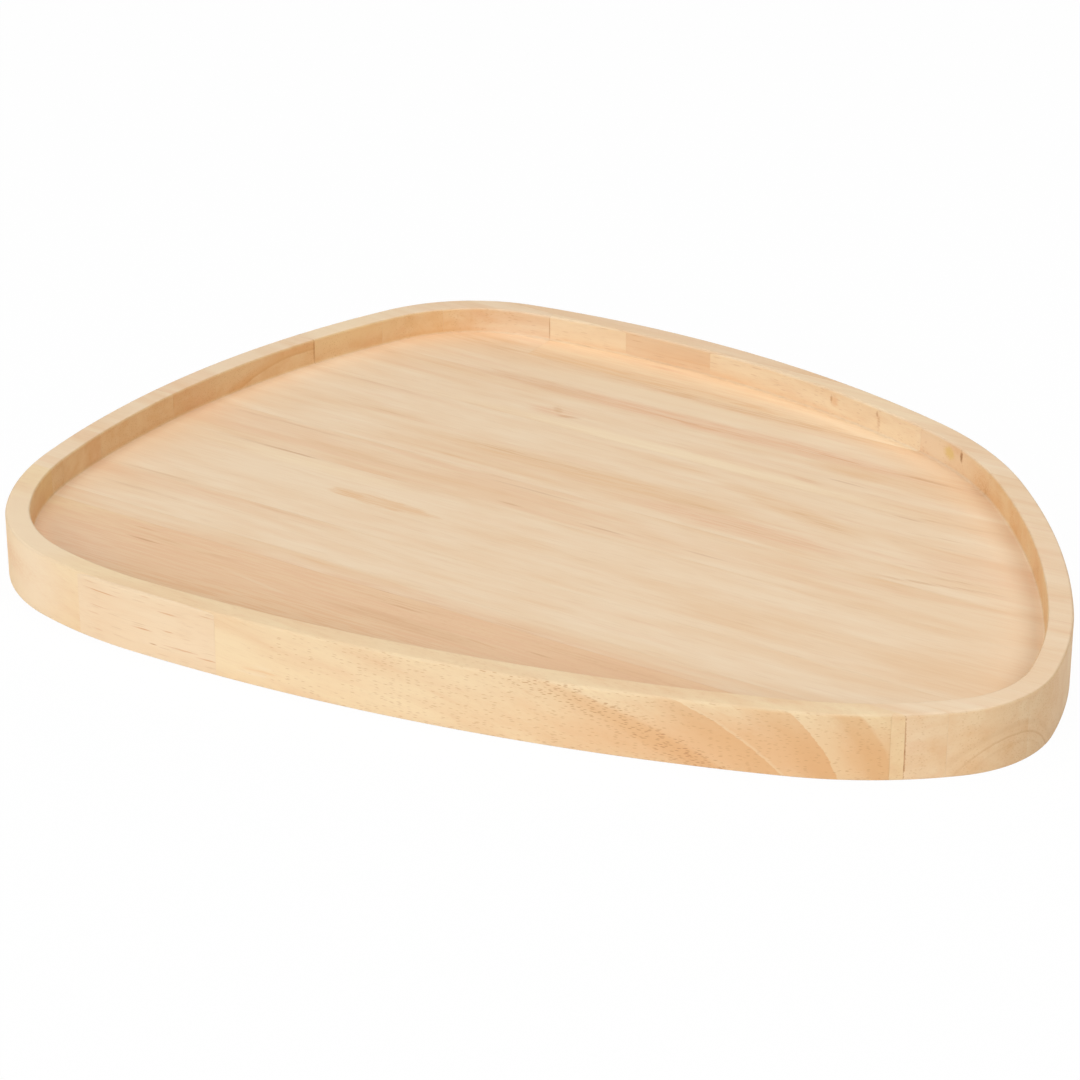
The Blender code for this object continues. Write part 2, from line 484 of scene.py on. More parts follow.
def oiled_and_shaded_surface():
    """Open pores and a coat of oil over a stave's colours, with the roughness and relief they leave, and
    painted shade.

    Where a stave says nothing else, its pores start left of the tray, and the ring where they crowd lies
    outside it.
    """
    inputs = {
        "Seed": 0.0,
        "Color": (*IVORY, 1.0),
        "Pore Size": (10.0, 0.7, 0.7),
        "Pore Share": 0.3,
        "Pore Depth": 0.22,
        "Pores From": -PAST_TRAY,
        "Crowd Pith": (0.0, 0.0, 0.0),
        "Crowd Inner": PAST_TRAY,
        "Crowd Outer": PAST_TRAY,
    }
    outputs = {"Color": "NodeSocketColor", "Roughness": "NodeSocketFloat", "Height": "NodeSocketFloat"}
    tree, given, result = new_group("Oiled and shaded surface", inputs, outputs)
    place = place_in_mm(tree)
    crowd = pore_crowd(tree, given, place)
    pores = open_pores(tree, given, place, crowd)
    depth = maths(tree, "MULTIPLY", maths(tree, "ADD", crowd, 1.0), given["Pore Depth"])
    colour = blend(tree, maths(tree, "MULTIPLY", pores, depth), given["Color"], PORE_BROWN)

    fibres = grain_noise(tree, seeded(tree, place, given["Seed"]), *FIBRE_GRAIN)
    roughness = maths(tree, "MULTIPLY_ADD", fibres, FIBRE_ROUGHNESS, OILED_ROUGHNESS)
    roughness = maths(tree, "MULTIPLY_ADD", pores, PORE_ROUGHNESS, roughness)
    relief = maths(tree, "MULTIPLY", fibres, FIBRE_RELIEF)
    relief = maths(tree, "MULTIPLY_ADD", pores, -PORE_RELIEF, relief)
    tree.links.new(oiled_and_shaded(tree, place, colour), result["Color"])
    tree.links.new(roughness, result["Roughness"])
    tree.links.new(relief, result["Height"])
    return tree


# A growth band's waves: length and width, and how far they go. It fades in and out over BAND_FADE either
# side of its ends. All are in millimetres.
BAND_WAVES = ((60.0, 12.0, 0.9), (5.0, 0.9, 0.5))
BAND_FADE = 12.0


def growth_band():
    """A mask of the wood between two growth rings, over a stretch of X, faint on faces that look up."""
    inputs = {
        "Pith Y": 0.0,
        "Pith Z": 0.0,
        "Inner": 10.0,
        "Outer": 12.0,
        "Inner Blur": 1.0,
        "Outer Blur": 1.0,
        "From": -PAST_TRAY,
        "To": PAST_TRAY,
    }
    tree, given, result = new_group("Growth band", inputs, {"Mask": "NodeSocketFloat"})
    place = place_in_mm(tree)
    wavy = place
    for waves in BAND_WAVES:
        wavy = vectors(tree, "ADD", wavy, wander(tree, place, *waves))
    radius = ring_radius(tree, wavy, given["Pith Y"], given["Pith Z"])
    ring = between(tree, radius, given["Inner"], given["Outer"], given["Inner Blur"], given["Outer Blur"])
    full_from = maths(tree, "ADD", given["From"], BAND_FADE)
    full_to = maths(tree, "SUBTRACT", given["To"], BAND_FADE)
    stretch = between(tree, component(tree, place, "X"), full_from, full_to, 2 * BAND_FADE, 2 * BAND_FADE)
    mask = maths(tree, "MULTIPLY", ring, stretch)
    tree.links.new(sanded(tree, mask, facing(tree, "Z")), result["Mask"])
    return tree


# A mark's ragged edge has spots of this length and width in millimetres, and its fibres leave these gaps.
RAGGED_SPOTS = (7.0, 0.8)
FIBRE_GAPS = (18.0, 0.9, 3.0, 0.60, 0.44)


def wood_mark():
    """A mask of one spindle-shaped mark in the wood, such as a streak, a knot or a long pore."""
    inputs = {
        "Centre": (0.0, 0.0, 0.0),
        "Reach": (5.0, 1.0, 1.0),
        "Slope": 0.0,
        "Blur": 0.5,
        "Ragged": 0.0,
        "Fibrous": 0.0,
    }
    tree, given, result = new_group("Wood mark", inputs, {"Mask": "NodeSocketFloat"})
    place = place_in_mm(tree)
    away = vectors(tree, "SUBTRACT", place, given["Centre"])
    climb = maths(tree, "MULTIPLY", component(tree, away, "X"), given["Slope"])
    away = vectors(tree, "SUBTRACT", away, lay(tree, "ShaderNodeCombineXYZ", {"Y": climb}))
    away = vectors(tree, "DIVIDE", away, given["Reach"])
    jitter = scaled(tree, grain_shift(tree, place, *RAGGED_SPOTS), given["Ragged"])
    distance = length(tree, vectors(tree, "ADD", away, jitter))
    spindle = ease(tree, distance, 1.0, maths(tree, "SUBTRACT", 1.0, given["Blur"]))
    gaps = maths(tree, "MULTIPLY", flecks(tree, place, FIBRE_GAPS), given["Fibrous"])
    mask = maths(tree, "MULTIPLY", spindle, maths(tree, "SUBTRACT", 1.0, gaps))
    tree.links.new(mask, result["Mask"])
    return tree


FIGURE = rubberwood_figure()
SURFACE = oiled_and_shaded_surface()
BAND = growth_band()
MARK = wood_mark()
RELIEF_STRENGTH = 0.5
RELIEF_HEIGHT = 0.05 * MM
OIL_SHINE = 0.2


def place_group(tree, group, values):
    """Places a group and feeds those of the values that it has a socket for."""
    node = tree.nodes.new("ShaderNodeGroup")
    node.node_tree = group
    for socket, value in values.items():
        if socket in node.inputs:
            feed(tree, node.inputs[socket], value)
    return node.outputs


def oiled_wood(slot, wood, layers=()):
    """One stave's finish: its figure, then bands and marks in turn, some painted shade or highlight, under
    oil and painted shade.
    """
    material = bpy.data.materials.new(slot)
    material.use_nodes = True
    tree = material.node_tree
    shader = tree.nodes["Principled BSDF"]
    colour = place_group(tree, FIGURE, wood)["Color"]
    for group, tint, strength, values in layers:
        mask = place_group(tree, group, values)["Mask"]
        colour = blend(tree, maths(tree, "MULTIPLY", mask, strength), colour, tint)
    surface = place_group(tree, SURFACE, {**wood, "Color": colour})
    tree.links.new(surface["Color"], shader.inputs["Base Color"])
    tree.links.new(surface["Roughness"], shader.inputs["Roughness"])
    relief = {"Height": surface["Height"], "Strength": RELIEF_STRENGTH, "Distance": RELIEF_HEIGHT}
    tree.links.new(lay(tree, "ShaderNodeBump", relief), shader.inputs["Normal"])
    shader.inputs["Specular IOR Level"].default_value = OIL_SHINE
    return material


def seam(before, after, axis):
    """Where two neighbouring staves are glued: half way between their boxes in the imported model."""
    return (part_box(before)[1][axis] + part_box(after)[0][axis]) / 2


def saw(bm, point, away):
    """Saws a piece at a point, drops the side that the arrow points to, and closes the cut."""
    whole = bm.verts[:] + bm.edges[:] + bm.faces[:]
    sawn = bmesh.ops.bisect_plane(
        bm,
        geom=whole,
        dist=SAW_TOLERANCE,
        plane_co=point - SEAM_ALLOWANCE * away,
        plane_no=away,
        clear_outer=True,
    )
    cut = [item for item in sawn["geom_cut"] if isinstance(item, bmesh.types.BMEdge)]
    bmesh.ops.holes_fill(bm, edges=cut, sides=0)


def stave(name, finish, front=None, back=None, left=None, right=None):
    """Cuts a stave out of the milled panel between its glue lines, and finishes it."""
    bm = panel.copy()
    for place, axis, away in ((front, Y, -Y), (back, Y, Y), (left, X, -X), (right, X, X)):
        if place is not None:
            saw(bm, place * axis, away)
    mesh = bpy.data.meshes.new(name + "_wood")
    bm.to_mesh(mesh)
    bm.free()
    mesh.shade_smooth()
    mesh.set_sharp_from_angle(angle=math.radians(SHARP_ANGLE_DEG))
    mesh.materials.append(finish)
    piece = bpy.data.objects.new(name + "_wood", mesh)
    bpy.context.scene.collection.objects.link(piece)
    flat_faces = piece.modifiers.new("Flat faces stay flat beside the rounds", "WEIGHTED_NORMAL")
    flat_faces.keep_sharp = True
    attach(piece, "root")
    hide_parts(name)


# Marks are placed in millimetres. A mark's reach is how far it goes from its centre along X, Y and Z.
FLOOR_Z = (HEIGHT - POCKET_DEPTH) / MM
DASH_DEPTH = 2.5
DASH_HEIGHT = 0.75


def mark(tint, strength, centre, reach, slope=0.0, blur=0.9, ragged=0.5, fibrous=0.0):
    form = {"Centre": centre, "Reach": reach, "Slope": slope}
    edge = {"Blur": blur, "Ragged": ragged, "Fibrous": fibrous}
    return MARK, tint, strength, {**form, **edge}


def streak(tint, strength, left, right, y, width, slope=0.0, fibrous=0.7, depth=8.0):
    """A mark along the grain in the tray's floor."""
    centre = ((left + right) / 2, y, FLOOR_Z)
    reach = ((right - left) / 2, width / 2, depth)
    return mark(tint, strength, centre, reach, slope, blur=0.8, ragged=0.4, fibrous=fibrous)


def zone(tint, strength, left, right, y, width, slope=0.0, depth=40.0):
    """A broad mark, which reaches up into the walls and the rim unless its depth is small."""
    centre = ((left + right) / 2, y, FLOOR_Z)
    reach = ((right - left) / 2, width / 2, depth)
    return mark(tint, strength, centre, reach, slope, blur=0.6, ragged=0.35, fibrous=0.45)


def dash(left, right, y, z, strength=0.6, tint=RED_DASH):
    """A long open pore in a wall."""
    centre = ((left + right) / 2, y, z)
    reach = ((right - left) / 2, DASH_DEPTH, DASH_HEIGHT / 2)
    return mark(tint, strength, centre, reach, blur=0.8, ragged=1.0)


FRONT_SEAM = seam("stave_01", "stave_02a", 1)
finish = oiled_wood(
    "stave_01",
    {"Seed": 1.0, "Pith Y": -180.0, "Pith Z": 12.0, "Tone": -0.1, "Ring Share": 0.05, "Cloud Share": 0.1,
     "Streak Share": 0.1, "Blush Share": 0.0, "Pore Share": 0.2, "Pore Depth": 0.2, "Pale": CREAM},
    (
        dash(-122.0, -100.0, -149.5, 19.6, 0.75),
        dash(-121.0, -114.0, -149.3, 22.2, 0.35),
        dash(-120.0, -108.0, -149.5, 13.6, 0.4),
        dash(-120.0, -112.0, -149.5, 10.4, 0.3),
        dash(-100.0, -88.0, -150.0, 10.2, 0.8),
        dash(-89.0, -77.0, -149.6, 18.8, 0.6),
        dash(-96.0, -89.0, -150.0, 23.0, 0.3),
        dash(-86.0, -80.0, -149.8, 11.9, 0.6),
        dash(-92.0, -87.0, -150.0, 5.4, 0.8, PORE_BROWN),
        dash(-87.0, -68.0, -149.4, 6.2, 0.6),
        dash(-73.0, -60.0, -149.0, 5.0, 0.7),
        dash(-117.0, -111.0, -149.6, 4.4, 0.35),
        dash(-71.0, -62.0, -149.0, 21.5, 0.3),
    ),
)
stave("stave_01", finish, back=FRONT_SEAM)

# The broad front stave. Most of the front wall is sawn out of it, where its fibres dive and growth rings
# cross the wall, and near the nose a short end board is glued to it end to end.
SECOND_SEAM = seam("stave_02a", "stave_03", 1)
BUTT_JOINT = seam("stave_02a", "stave_02b", 0)
PORE_RING_PITH = (-202.3, -45.1)
FIRST_LINE_PITH = (-199.9, -31.9)
SECOND_LINE_PITH = (-203.9, -18.8)


def band(pith, tint, strength, inner, outer, inner_blur, outer_blur, start=-PAST_TRAY, stop=PAST_TRAY):
    """The wood between two growth rings, from start to stop along X."""
    edges = {"Inner": inner, "Outer": outer, "Inner Blur": inner_blur, "Outer Blur": outer_blur}
    return BAND, tint, strength, {"Pith Y": pith[0], "Pith Z": pith[1], **edges, "From": start, "To": stop}


finish = oiled_wood(
    "stave_02a",
    {"Seed": 2.0, "Pith Y": -142.0, "Pith Z": -1.0, "Dive": -0.14, "Bend From": 0.0,
     "Bend": (0.0, 0.0, -0.0012), "Tone": 0.0, "Ring Share": 0.1, "Streak Share": 0.3, "Blush Share": 0.15,
     "Pore Size": (3.0, 1.3, 0.48), "Pore Share": 0.5, "Pore Depth": 0.38, "Pores From": -60.0,
     "Crowd Pith": (0.0, *PORE_RING_PITH), "Crowd Inner": 97.6, "Crowd Outer": 101.2, "Pale": SAPWOOD},
    (
        mark(IVORY, 0.7, (-165.0, -130.0, 12.0), (48.0, 40.0, 40.0), blur=0.5, ragged=0.2),
        mark(HONEY, 0.7, (130.0, -110.0, 8.0), (160.0, 50.0, 18.0), blur=0.85, ragged=0.2),
        band(PORE_RING_PITH, AMBER, 0.45, 98.6, 100.0, 3.0, 1.5, start=62.0),
        band(FIRST_LINE_PITH, AMBER, 0.45, 98.3, 99.6, 5.0, 0.15, start=95.0),
        band(FIRST_LINE_PITH, SAPWOOD, 0.4, 99.7, 99.85, 0.15, 0.5, start=95.0),
        band(SECOND_LINE_PITH, AMBER, 0.5, 105.5, 107.8, 4.5, 0.15, start=110.0),
        band(SECOND_LINE_PITH, SAPWOOD, 0.55, 107.9, 108.3, 0.15, 4.0, start=110.0),
        band(SECOND_LINE_PITH, AMBER, 0.5, 114.5, 117.0, 3.0, 1.0, start=130.0),
        mark(BLUSH, 0.85, (-40.0, -100.0, FLOOR_Z), (200.0, 46.0, 11.0),
             slope=0.1, blur=0.4, ragged=0.3, fibrous=0.35),
        mark(AMBER, 0.3, (-80.0, -124.0, FLOOR_Z), (120.0, 18.0, 8.0),
             slope=0.12, blur=0.8, ragged=0.3, fibrous=0.6),
        zone(STREAK_BROWN, 0.4, -60.0, 30.0, -103.5, 10.0, depth=5.0),
        streak(STREAK_BROWN, 0.4, -50.0, 0.0, -91.0, 9.0),
        streak(STREAK_BROWN, 0.35, -150.0, -85.0, -95.5, 5.0),
        streak(STREAK_BROWN, 0.3, 10.0, 110.0, -92.0, 7.0),
        streak(TAN, 0.5, -130.0, -40.0, -100.5, 3.0),
        streak(RED_DASH, 0.4, -145.0, -130.0, -91.3, 1.6, fibrous=0.3),
        streak(PORE_BROWN, 0.5, -142.5, -123.0, -98.8, 1.3, fibrous=0.2),
        streak(PORE_BROWN, 0.3, -44.0, -26.0, -86.5, 1.2, fibrous=0.3),
        streak(PORE_BROWN, 0.3, -36.0, -10.0, -93.5, 1.2, fibrous=0.3),
        streak(PORE_BROWN, 0.4, 30.0, 44.0, -98.0, 1.4, fibrous=0.3),
        streak(CREAM, 0.5, -98.5, -56.7, -104.9, 2.4, slope=-0.15, fibrous=0.2),
        streak(RED_DASH, 0.35, 5.0, 25.0, -101.5, 1.6, slope=-0.1, fibrous=0.2),
        mark(HONEY, 0.45, (-45.0, -147.0, 6.0), (11.0, 3.0, 0.8), ragged=1.2),
        mark(IVORY, 0.7, (-48.0, -147.0, 4.4), (10.0, 3.0, 0.8), ragged=1.2),
        mark(IVORY, 0.5, (-44.0, -147.0, 7.6), (8.0, 3.0, 0.6), ragged=1.2),
    ),
)
stave("stave_02a", finish, front=FRONT_SEAM, back=SECOND_SEAM, right=BUTT_JOINT)

finish = oiled_wood(
    "stave_02b",
    {"Seed": 3.0, "Tone": 0.05, "Pith Y": -120.0, "Pith Z": 50.0, "Ring Share": 0.1, "Pale": SAPWOOD},
)
stave("stave_02b", finish, front=FRONT_SEAM, back=SECOND_SEAM, left=BUTT_JOINT)

# The middle staves. Five long strips make the tray's floor and both of its ends: pale wood with faint
# tan and pinkish streaks. One has a brown mineral streak, and another shows a dark glue line at the nose.
THIRD_SEAM = seam("stave_03", "stave_04", 1)
FOURTH_SEAM = seam("stave_04", "stave_05", 1)
FIFTH_SEAM = seam("stave_05", "stave_06", 1)
SIXTH_SEAM = seam("stave_06", "stave_07", 1)
SEVENTH_SEAM = seam("stave_07", "stave_08", 1)

# The foot of the left wall has painted shade, a tan mark across five staves, and the top of that wall has a
# painted highlight, a pale mark across two.
LEFT_FOOT_PAINTED_SHADE = mark(TAN, 0.65, (-196.0, 20.0, FLOOR_Z), (32.0, 150.0, 3.0), ragged=0.3, fibrous=0.3)
LEFT_WALL_PAINTED_HIGHLIGHT = mark(IVORY, 0.8, (-190.0, 34.0, 21.5), (16.0, 42.0, 6.5), ragged=0.2)

# The middle of the log, in Y and Z, for the tight rings at the nose and for the wider ones at the left end.
NOSE_PITH = (-57.8, -9.0)
LEFT_END_PITH = (60.0, -61.0)
NOSE_RINGS = (
    band(NOSE_PITH, STREAK_BROWN, 0.15, 17.0, 17.4, 0.8, 0.4, start=184.0),
    band(NOSE_PITH, STREAK_BROWN, 0.45, 20.1, 20.3, 0.2, 0.8, start=184.0),
    band(NOSE_PITH, STREAK_BROWN, 0.18, 23.4, 24.0, 1.0, 1.5, start=176.0),
)

finish = oiled_wood(
    "stave_03",
    {"Seed": 4.0, "Pith Y": -60.0, "Pith Z": -40.0, "Tone": 0.1},
    (
        LEFT_FOOT_PAINTED_SHADE,
        mark(GLUE_BROWN, 0.6, (170.3, -86.5, 10.3), (4.0, 0.4, 1.3), blur=0.6, ragged=1.0),
        mark(GLUE_BROWN, 0.6, (170.3, -86.5, 4.6), (4.0, 0.4, 1.6), blur=0.6, ragged=1.0),
        mark(PORE_BROWN, 0.6, (170.3, -86.5, 12.0), (4.0, 0.35, 14.0), blur=0.3, ragged=1.2),
        zone(BLUSH, 0.7, -225.0, 190.0, -94.0, 32.0, depth=11.0),
        streak(STREAK_BROWN, 0.3, -60.0, 60.0, -85.0, 6.0),
    ),
)
stave("stave_03", finish, front=SECOND_SEAM, back=THIRD_SEAM)

finish = oiled_wood(
    "stave_04",
    {"Seed": 5.0, "Pith Y": NOSE_PITH[0], "Pith Z": NOSE_PITH[1], "Tone": 0.05, "Ring Share": 0.1,
     "Cloud Share": 0.3, "Blush Share": 0.2},
    (
        *NOSE_RINGS,
        LEFT_FOOT_PAINTED_SHADE,
        zone(BLUSH, 0.4, -235.0, -80.0, -56.0, 14.0),
        streak(STREAK_BROWN, 0.35, -125.0, -85.0, -53.0, 4.0),
        streak(STREAK_BROWN, 0.4, -190.0, -130.0, -65.0, 3.5),
        streak(TAN, 0.4, -50.0, 60.0, -66.0, 6.0),
        streak(CREAM, 0.6, -30.0, 120.0, -74.0, 6.0),
    ),
)
stave("stave_04", finish, front=THIRD_SEAM, back=FOURTH_SEAM)

finish = oiled_wood(
    "stave_05",
    {"Seed": 6.0, "Pith Y": -28.0, "Pith Z": 48.0, "Tone": 0.05, "Ring Share": 0.06, "Cloud Share": 0.25,
     "Streak Share": 0.2, "Blush Share": 0.12},
    (
        *NOSE_RINGS,
        LEFT_FOOT_PAINTED_SHADE,
        zone(IVORY, 0.9, -195.0, -20.0, -24.0, 30.0, depth=11.0),
        streak(TAN, 0.5, -30.0, 4.0, -28.0, 16.0),
        streak(TAN, 0.35, 10.0, 150.0, -33.0, 12.0),
        streak(WHITE_SAP, 0.7, -185.0, -60.0, -13.0, 13.0, fibrous=0.3),
        mark(AMBER, 0.5, (-77.5, -26.8, FLOOR_Z), (27.0, 4.4, 5.0), blur=0.4, ragged=0.9, fibrous=0.5),
        mark(AMBER, 0.25, (-94.0, -26.8, FLOOR_Z), (9.0, 3.4, 5.0), blur=0.3, fibrous=0.2),
        streak(IVORY, 0.9, -78.0, -42.0, -16.5, 9.0),
        streak(PORE_BROWN, 0.4, -168.0, -112.0, -8.2, 2.0, fibrous=0.5),
        streak(PORE_BROWN, 0.4, -143.0, -116.0, -8.1, 2.0, fibrous=0.2),
        streak(STREAK_BROWN, 0.45, -192.0, -125.0, -50.5, 3.2),
        zone(TAN, 0.5, 125.0, 215.0, -32.0, 50.0),
    ),
)
stave("stave_05", finish, front=FOURTH_SEAM, back=FIFTH_SEAM)

finish = oiled_wood(
    "stave_06",
    {"Seed": 7.0, "Pith Y": -10.0, "Pith Z": -50.0, "Tone": 0.2, "Streak Share": 0.4, "Blush Share": 0.4},
    (
        LEFT_FOOT_PAINTED_SHADE,
        zone(BLUSH, 0.4, -240.0, -90.0, 6.0, 24.0),
        LEFT_WALL_PAINTED_HIGHLIGHT,
        zone(BLUSH, 0.15, -130.0, 120.0, 2.0, 24.0),
        streak(STREAK_BROWN, 0.4, -188.0, -105.0, 13.0, 3.0),
        streak(STREAK_BROWN, 0.2, -150.0, -60.0, 3.0, 7.0),
        streak(PORE_BROWN, 0.3, -62.0, -12.0, 12.0, 1.8, fibrous=0.3),
        streak(CREAM, 0.5, -60.0, 10.0, 10.0, 2.0, fibrous=0.3),
        streak(PORE_BROWN, 0.35, -45.0, -30.0, -2.4, 1.4, fibrous=0.2),
        streak(PORE_BROWN, 0.4, -10.0, 16.0, -2.6, 1.6, fibrous=0.2),
        streak(PORE_BROWN, 0.25, 30.0, 60.0, -1.2, 1.4, fibrous=0.2),
        streak(CREAM, 0.5, 100.0, 190.0, 2.0, 24.0),
    ),
)
stave("stave_06", finish, front=FIFTH_SEAM, back=SIXTH_SEAM)

finish = oiled_wood(
    "stave_07",
    {"Seed": 8.0, "Pith Y": LEFT_END_PITH[0], "Pith Z": LEFT_END_PITH[1], "Tone": 0.1, "Cloud Share": 0.3},
    (
        band(LEFT_END_PITH, STREAK_BROWN, 0.4, 81.3, 81.8, 0.3, 0.8, stop=-170.0),
        band(LEFT_END_PITH, HONEY, 0.45, 81.6, 83.0, 0.5, 3.0, stop=-170.0),
        mark(PORE_BROWN, 0.45, (-175.0, 65.9, 19.0), (6.0, 0.6, 7.0), blur=0.6, ragged=0.4),
        LEFT_FOOT_PAINTED_SHADE,
        LEFT_WALL_PAINTED_HIGHLIGHT,
        zone(TAN, 0.85, -125.0, 75.0, 35.0, 15.0, depth=9.0),
        streak(STREAK_BROWN, 0.35, -95.0, -15.0, 36.5, 6.0),
        streak(STREAK_BROWN, 0.4, 2.0, 38.0, 33.0, 4.5),
        streak(STREAK_BROWN, 0.4, -138.0, -108.0, 43.0, 3.5),
        zone(TAN, 0.7, 10.0, 98.0, 48.5, 14.0, slope=-0.22, depth=9.0),
        streak(STREAK_BROWN, 0.4, 45.0, 86.0, 45.5, 4.0, slope=-0.25),
        zone(BLUSH, 0.8, -20.0, 105.0, 26.0, 16.0, depth=9.0),
        streak(STREAK_BROWN, 0.5, 8.0, 90.0, 26.0, 2.6, slope=-0.03, fibrous=0.9),
        streak(RED_DASH, 0.35, 62.0, 86.0, 26.6, 1.8, fibrous=0.5),
        streak(STREAK_BROWN, 0.6, 92.0, 164.0, 22.5, 3.0, slope=0.2, fibrous=0.8),
        streak(STREAK_BROWN, 0.45, 105.0, 158.0, 28.5, 2.0, slope=0.2, fibrous=0.8),
        streak(STREAK_BROWN, 0.4, 98.0, 150.0, 33.0, 1.6, slope=0.16, fibrous=0.8),
        streak(STREAK_BROWN, 0.4, 95.0, 140.0, 41.0, 1.6, slope=0.14, fibrous=0.8),
        streak(STREAK_BROWN, 0.4, 96.0, 136.0, 50.0, 1.6, slope=0.12, fibrous=0.8),
        streak(STREAK_BROWN, 0.4, 94.0, 132.0, 57.0, 1.8, slope=0.12, fibrous=0.8),
        zone(BLUSH, 0.4, 100.0, 175.0, 42.0, 30.0, slope=0.1),
        streak(STREAK_BROWN, 0.4, -187.0, -98.0, 62.5, 4.5),
        streak(CREAM, 0.5, -160.0, -100.0, 22.0, 4.0),
        streak(PORE_BROWN, 0.35, 83.0, 101.0, 65.2, 1.8, fibrous=0.3),
    ),
)
stave("stave_07", finish, front=SIXTH_SEAM, back=SEVENTH_SEAM)

# The back staves, from the floor up into the long back wall. The last but one is two boards glued end to
# end, a warmer one at the left and a pale one beside it. Four boards share the marks of the left corner:
# painted shade on its floor and a painted highlight near the top of the left wall.
EIGHTH_SEAM = seam("stave_08", "stave_09", 1)
NINTH_SEAM = seam("stave_09", "stave_10a", 1)
LAST_SEAM = seam("stave_10a", "stave_11", 1)
BACK_BUTT_JOINT = seam("stave_10a", "stave_10b", 0)
BACK_LEFT_CORNER_SHADE_AND_HIGHLIGHT = (
    # Painted shade on the floor in the back left corner.
    mark(TAN, 0.9, (-160.0, 118.0, FLOOR_Z), (58.0, 34.0, 3.0), slope=0.3, ragged=0.3, fibrous=0.3),
    # A painted highlight near the top of the left wall.
    mark(WHITE_SAP, 0.8, (-174.0, 88.0, 22.0), (25.0, 40.0, 7.0), ragged=0.2),
    # Painted shade on the floor near the back wall.
    mark(TAN, 0.6, (-100.0, 121.0, FLOOR_Z), (60.0, 11.0, 3.0), blur=0.7, ragged=0.3, fibrous=0.3),
)

finish = oiled_wood(
    "stave_08",
    {"Seed": 9.0, "Pith Y": 80.0, "Pith Z": -45.0, "Tone": 0.15},
    (
        *BACK_LEFT_CORNER_SHADE_AND_HIGHLIGHT,
        zone(BLUSH, 0.9, -150.0, 135.0, 97.0, 12.0, depth=9.0),
        zone(STREAK_BROWN, 0.3, -125.0, -50.0, 97.0, 10.0, depth=9.0),
        streak(WHITE_SAP, 0.9, -140.0, 120.0, 69.0, 12.0, fibrous=0.2),
        streak(RED_DASH, 0.35, -45.0, 16.0, 96.2, 3.0, fibrous=0.9),
        streak(CREAM, 0.5, -160.0, -95.0, 90.5, 4.0),
        streak(TAN, 0.9, 30.0, 85.0, 90.0, 14.0, fibrous=0.3),
        streak(BLUSH, 0.7, -85.0, -50.0, 78.0, 12.0, slope=0.15),
        streak(STREAK_BROWN, 0.5, -72.0, -64.0, 79.5, 6.0, slope=-0.6, fibrous=0.2),
        streak(STREAK_BROWN, 0.5, -67.0, -55.0, 76.0, 3.6, slope=0.3, fibrous=0.3),
        streak(RED_DASH, 0.3, -68.0, -58.0, 76.0, 3.0, slope=0.25, fibrous=0.3),
        streak(RED_DASH, 0.3, 36.0, 54.0, 74.5, 3.6, fibrous=0.4),
        streak(PORE_BROWN, 0.3, 5.0, 90.0, 80.5, 1.8, fibrous=0.9),
        streak(STREAK_BROWN, 0.35, -166.0, -148.0, 93.0, 5.0, depth=3.0),
        streak(STREAK_BROWN, 0.55, 88.0, 136.0, 69.5, 2.6, slope=0.12),
        zone(TAN, 0.7, 60.0, 135.0, 91.0, 20.0, depth=11.0),
    ),
)
stave("stave_08", finish, front=SEVENTH_SEAM, back=EIGHTH_SEAM)

finish = oiled_wood(
    "stave_09",
    {"Seed": 10.0, "Pith Y": 110.0, "Pith Z": -45.0, "Tone": 0.08},
    (
        *BACK_LEFT_CORNER_SHADE_AND_HIGHLIGHT,
        zone(BLUSH, 0.9, -150.0, 150.0, 97.5, 13.0, depth=9.0),
        zone(STREAK_BROWN, 0.3, -125.0, -50.0, 98.0, 10.0, depth=9.0),
        zone(TAN, 0.7, 60.0, 125.0, 100.0, 16.0, depth=11.0),
        zone(CREAM, 0.9, -125.0, 60.0, 109.0, 14.0, depth=9.0),
        mark(TAN, 0.6, (68.0, 113.0, FLOOR_Z), (55.0, 14.0, 3.0), slope=-0.3, ragged=0.3, fibrous=0.3),
        zone(TAN, 0.95, -110.0, 115.0, 119.5, 13.0, depth=9.0),
        streak(STREAK_BROWN, 0.4, -85.0, 65.0, 118.0, 7.0),
        streak(RED_DASH, 0.35, 24.0, 64.0, 98.4, 3.0, fibrous=0.6),
        streak(PORE_BROWN, 0.4, 63.0, 103.0, 98.4, 2.4, fibrous=0.4),
        streak(STREAK_BROWN, 0.3, -152.0, -106.0, 121.0, 16.0, depth=4.0),
        streak(STREAK_BROWN, 0.6, 98.0, 120.0, 97.0, 12.0, slope=-0.5),
        mark(IVORY, 0.75, (76.0, 116.5, 19.5), (16.0, 8.0, 6.5), blur=0.5, ragged=0.2),
        mark(GLUE_BROWN, 0.75, (91.3, 109.3, 21.3), (1.0, 3.0, 3.2), blur=0.7, ragged=0.9),
        mark(OLIVE_PATCH, 0.9, (84.5, 113.3, 19.8), (4.5, 4.0, 3.6), blur=0.7, ragged=0.6),
    ),
)
stave("stave_09", finish, front=EIGHTH_SEAM, back=NINTH_SEAM)

finish = oiled_wood(
    "stave_10a",
    {"Seed": 11.0, "Pith Y": 150.0, "Pith Z": -30.0, "Tone": 0.02, "Dark": AMBER},
    (
        *BACK_LEFT_CORNER_SHADE_AND_HIGHLIGHT,
        mark(PORE_BROWN, 0.6, (-108.3, 137.1, 19.0), (0.6, 4.0, 6.0), blur=0.6, ragged=0.3),
        streak(STREAK_BROWN, 0.3, -152.0, -100.0, 122.5, 15.0, depth=4.0),
    ),
)
stave("stave_10a", finish, front=NINTH_SEAM, back=LAST_SEAM, right=BACK_BUTT_JOINT)

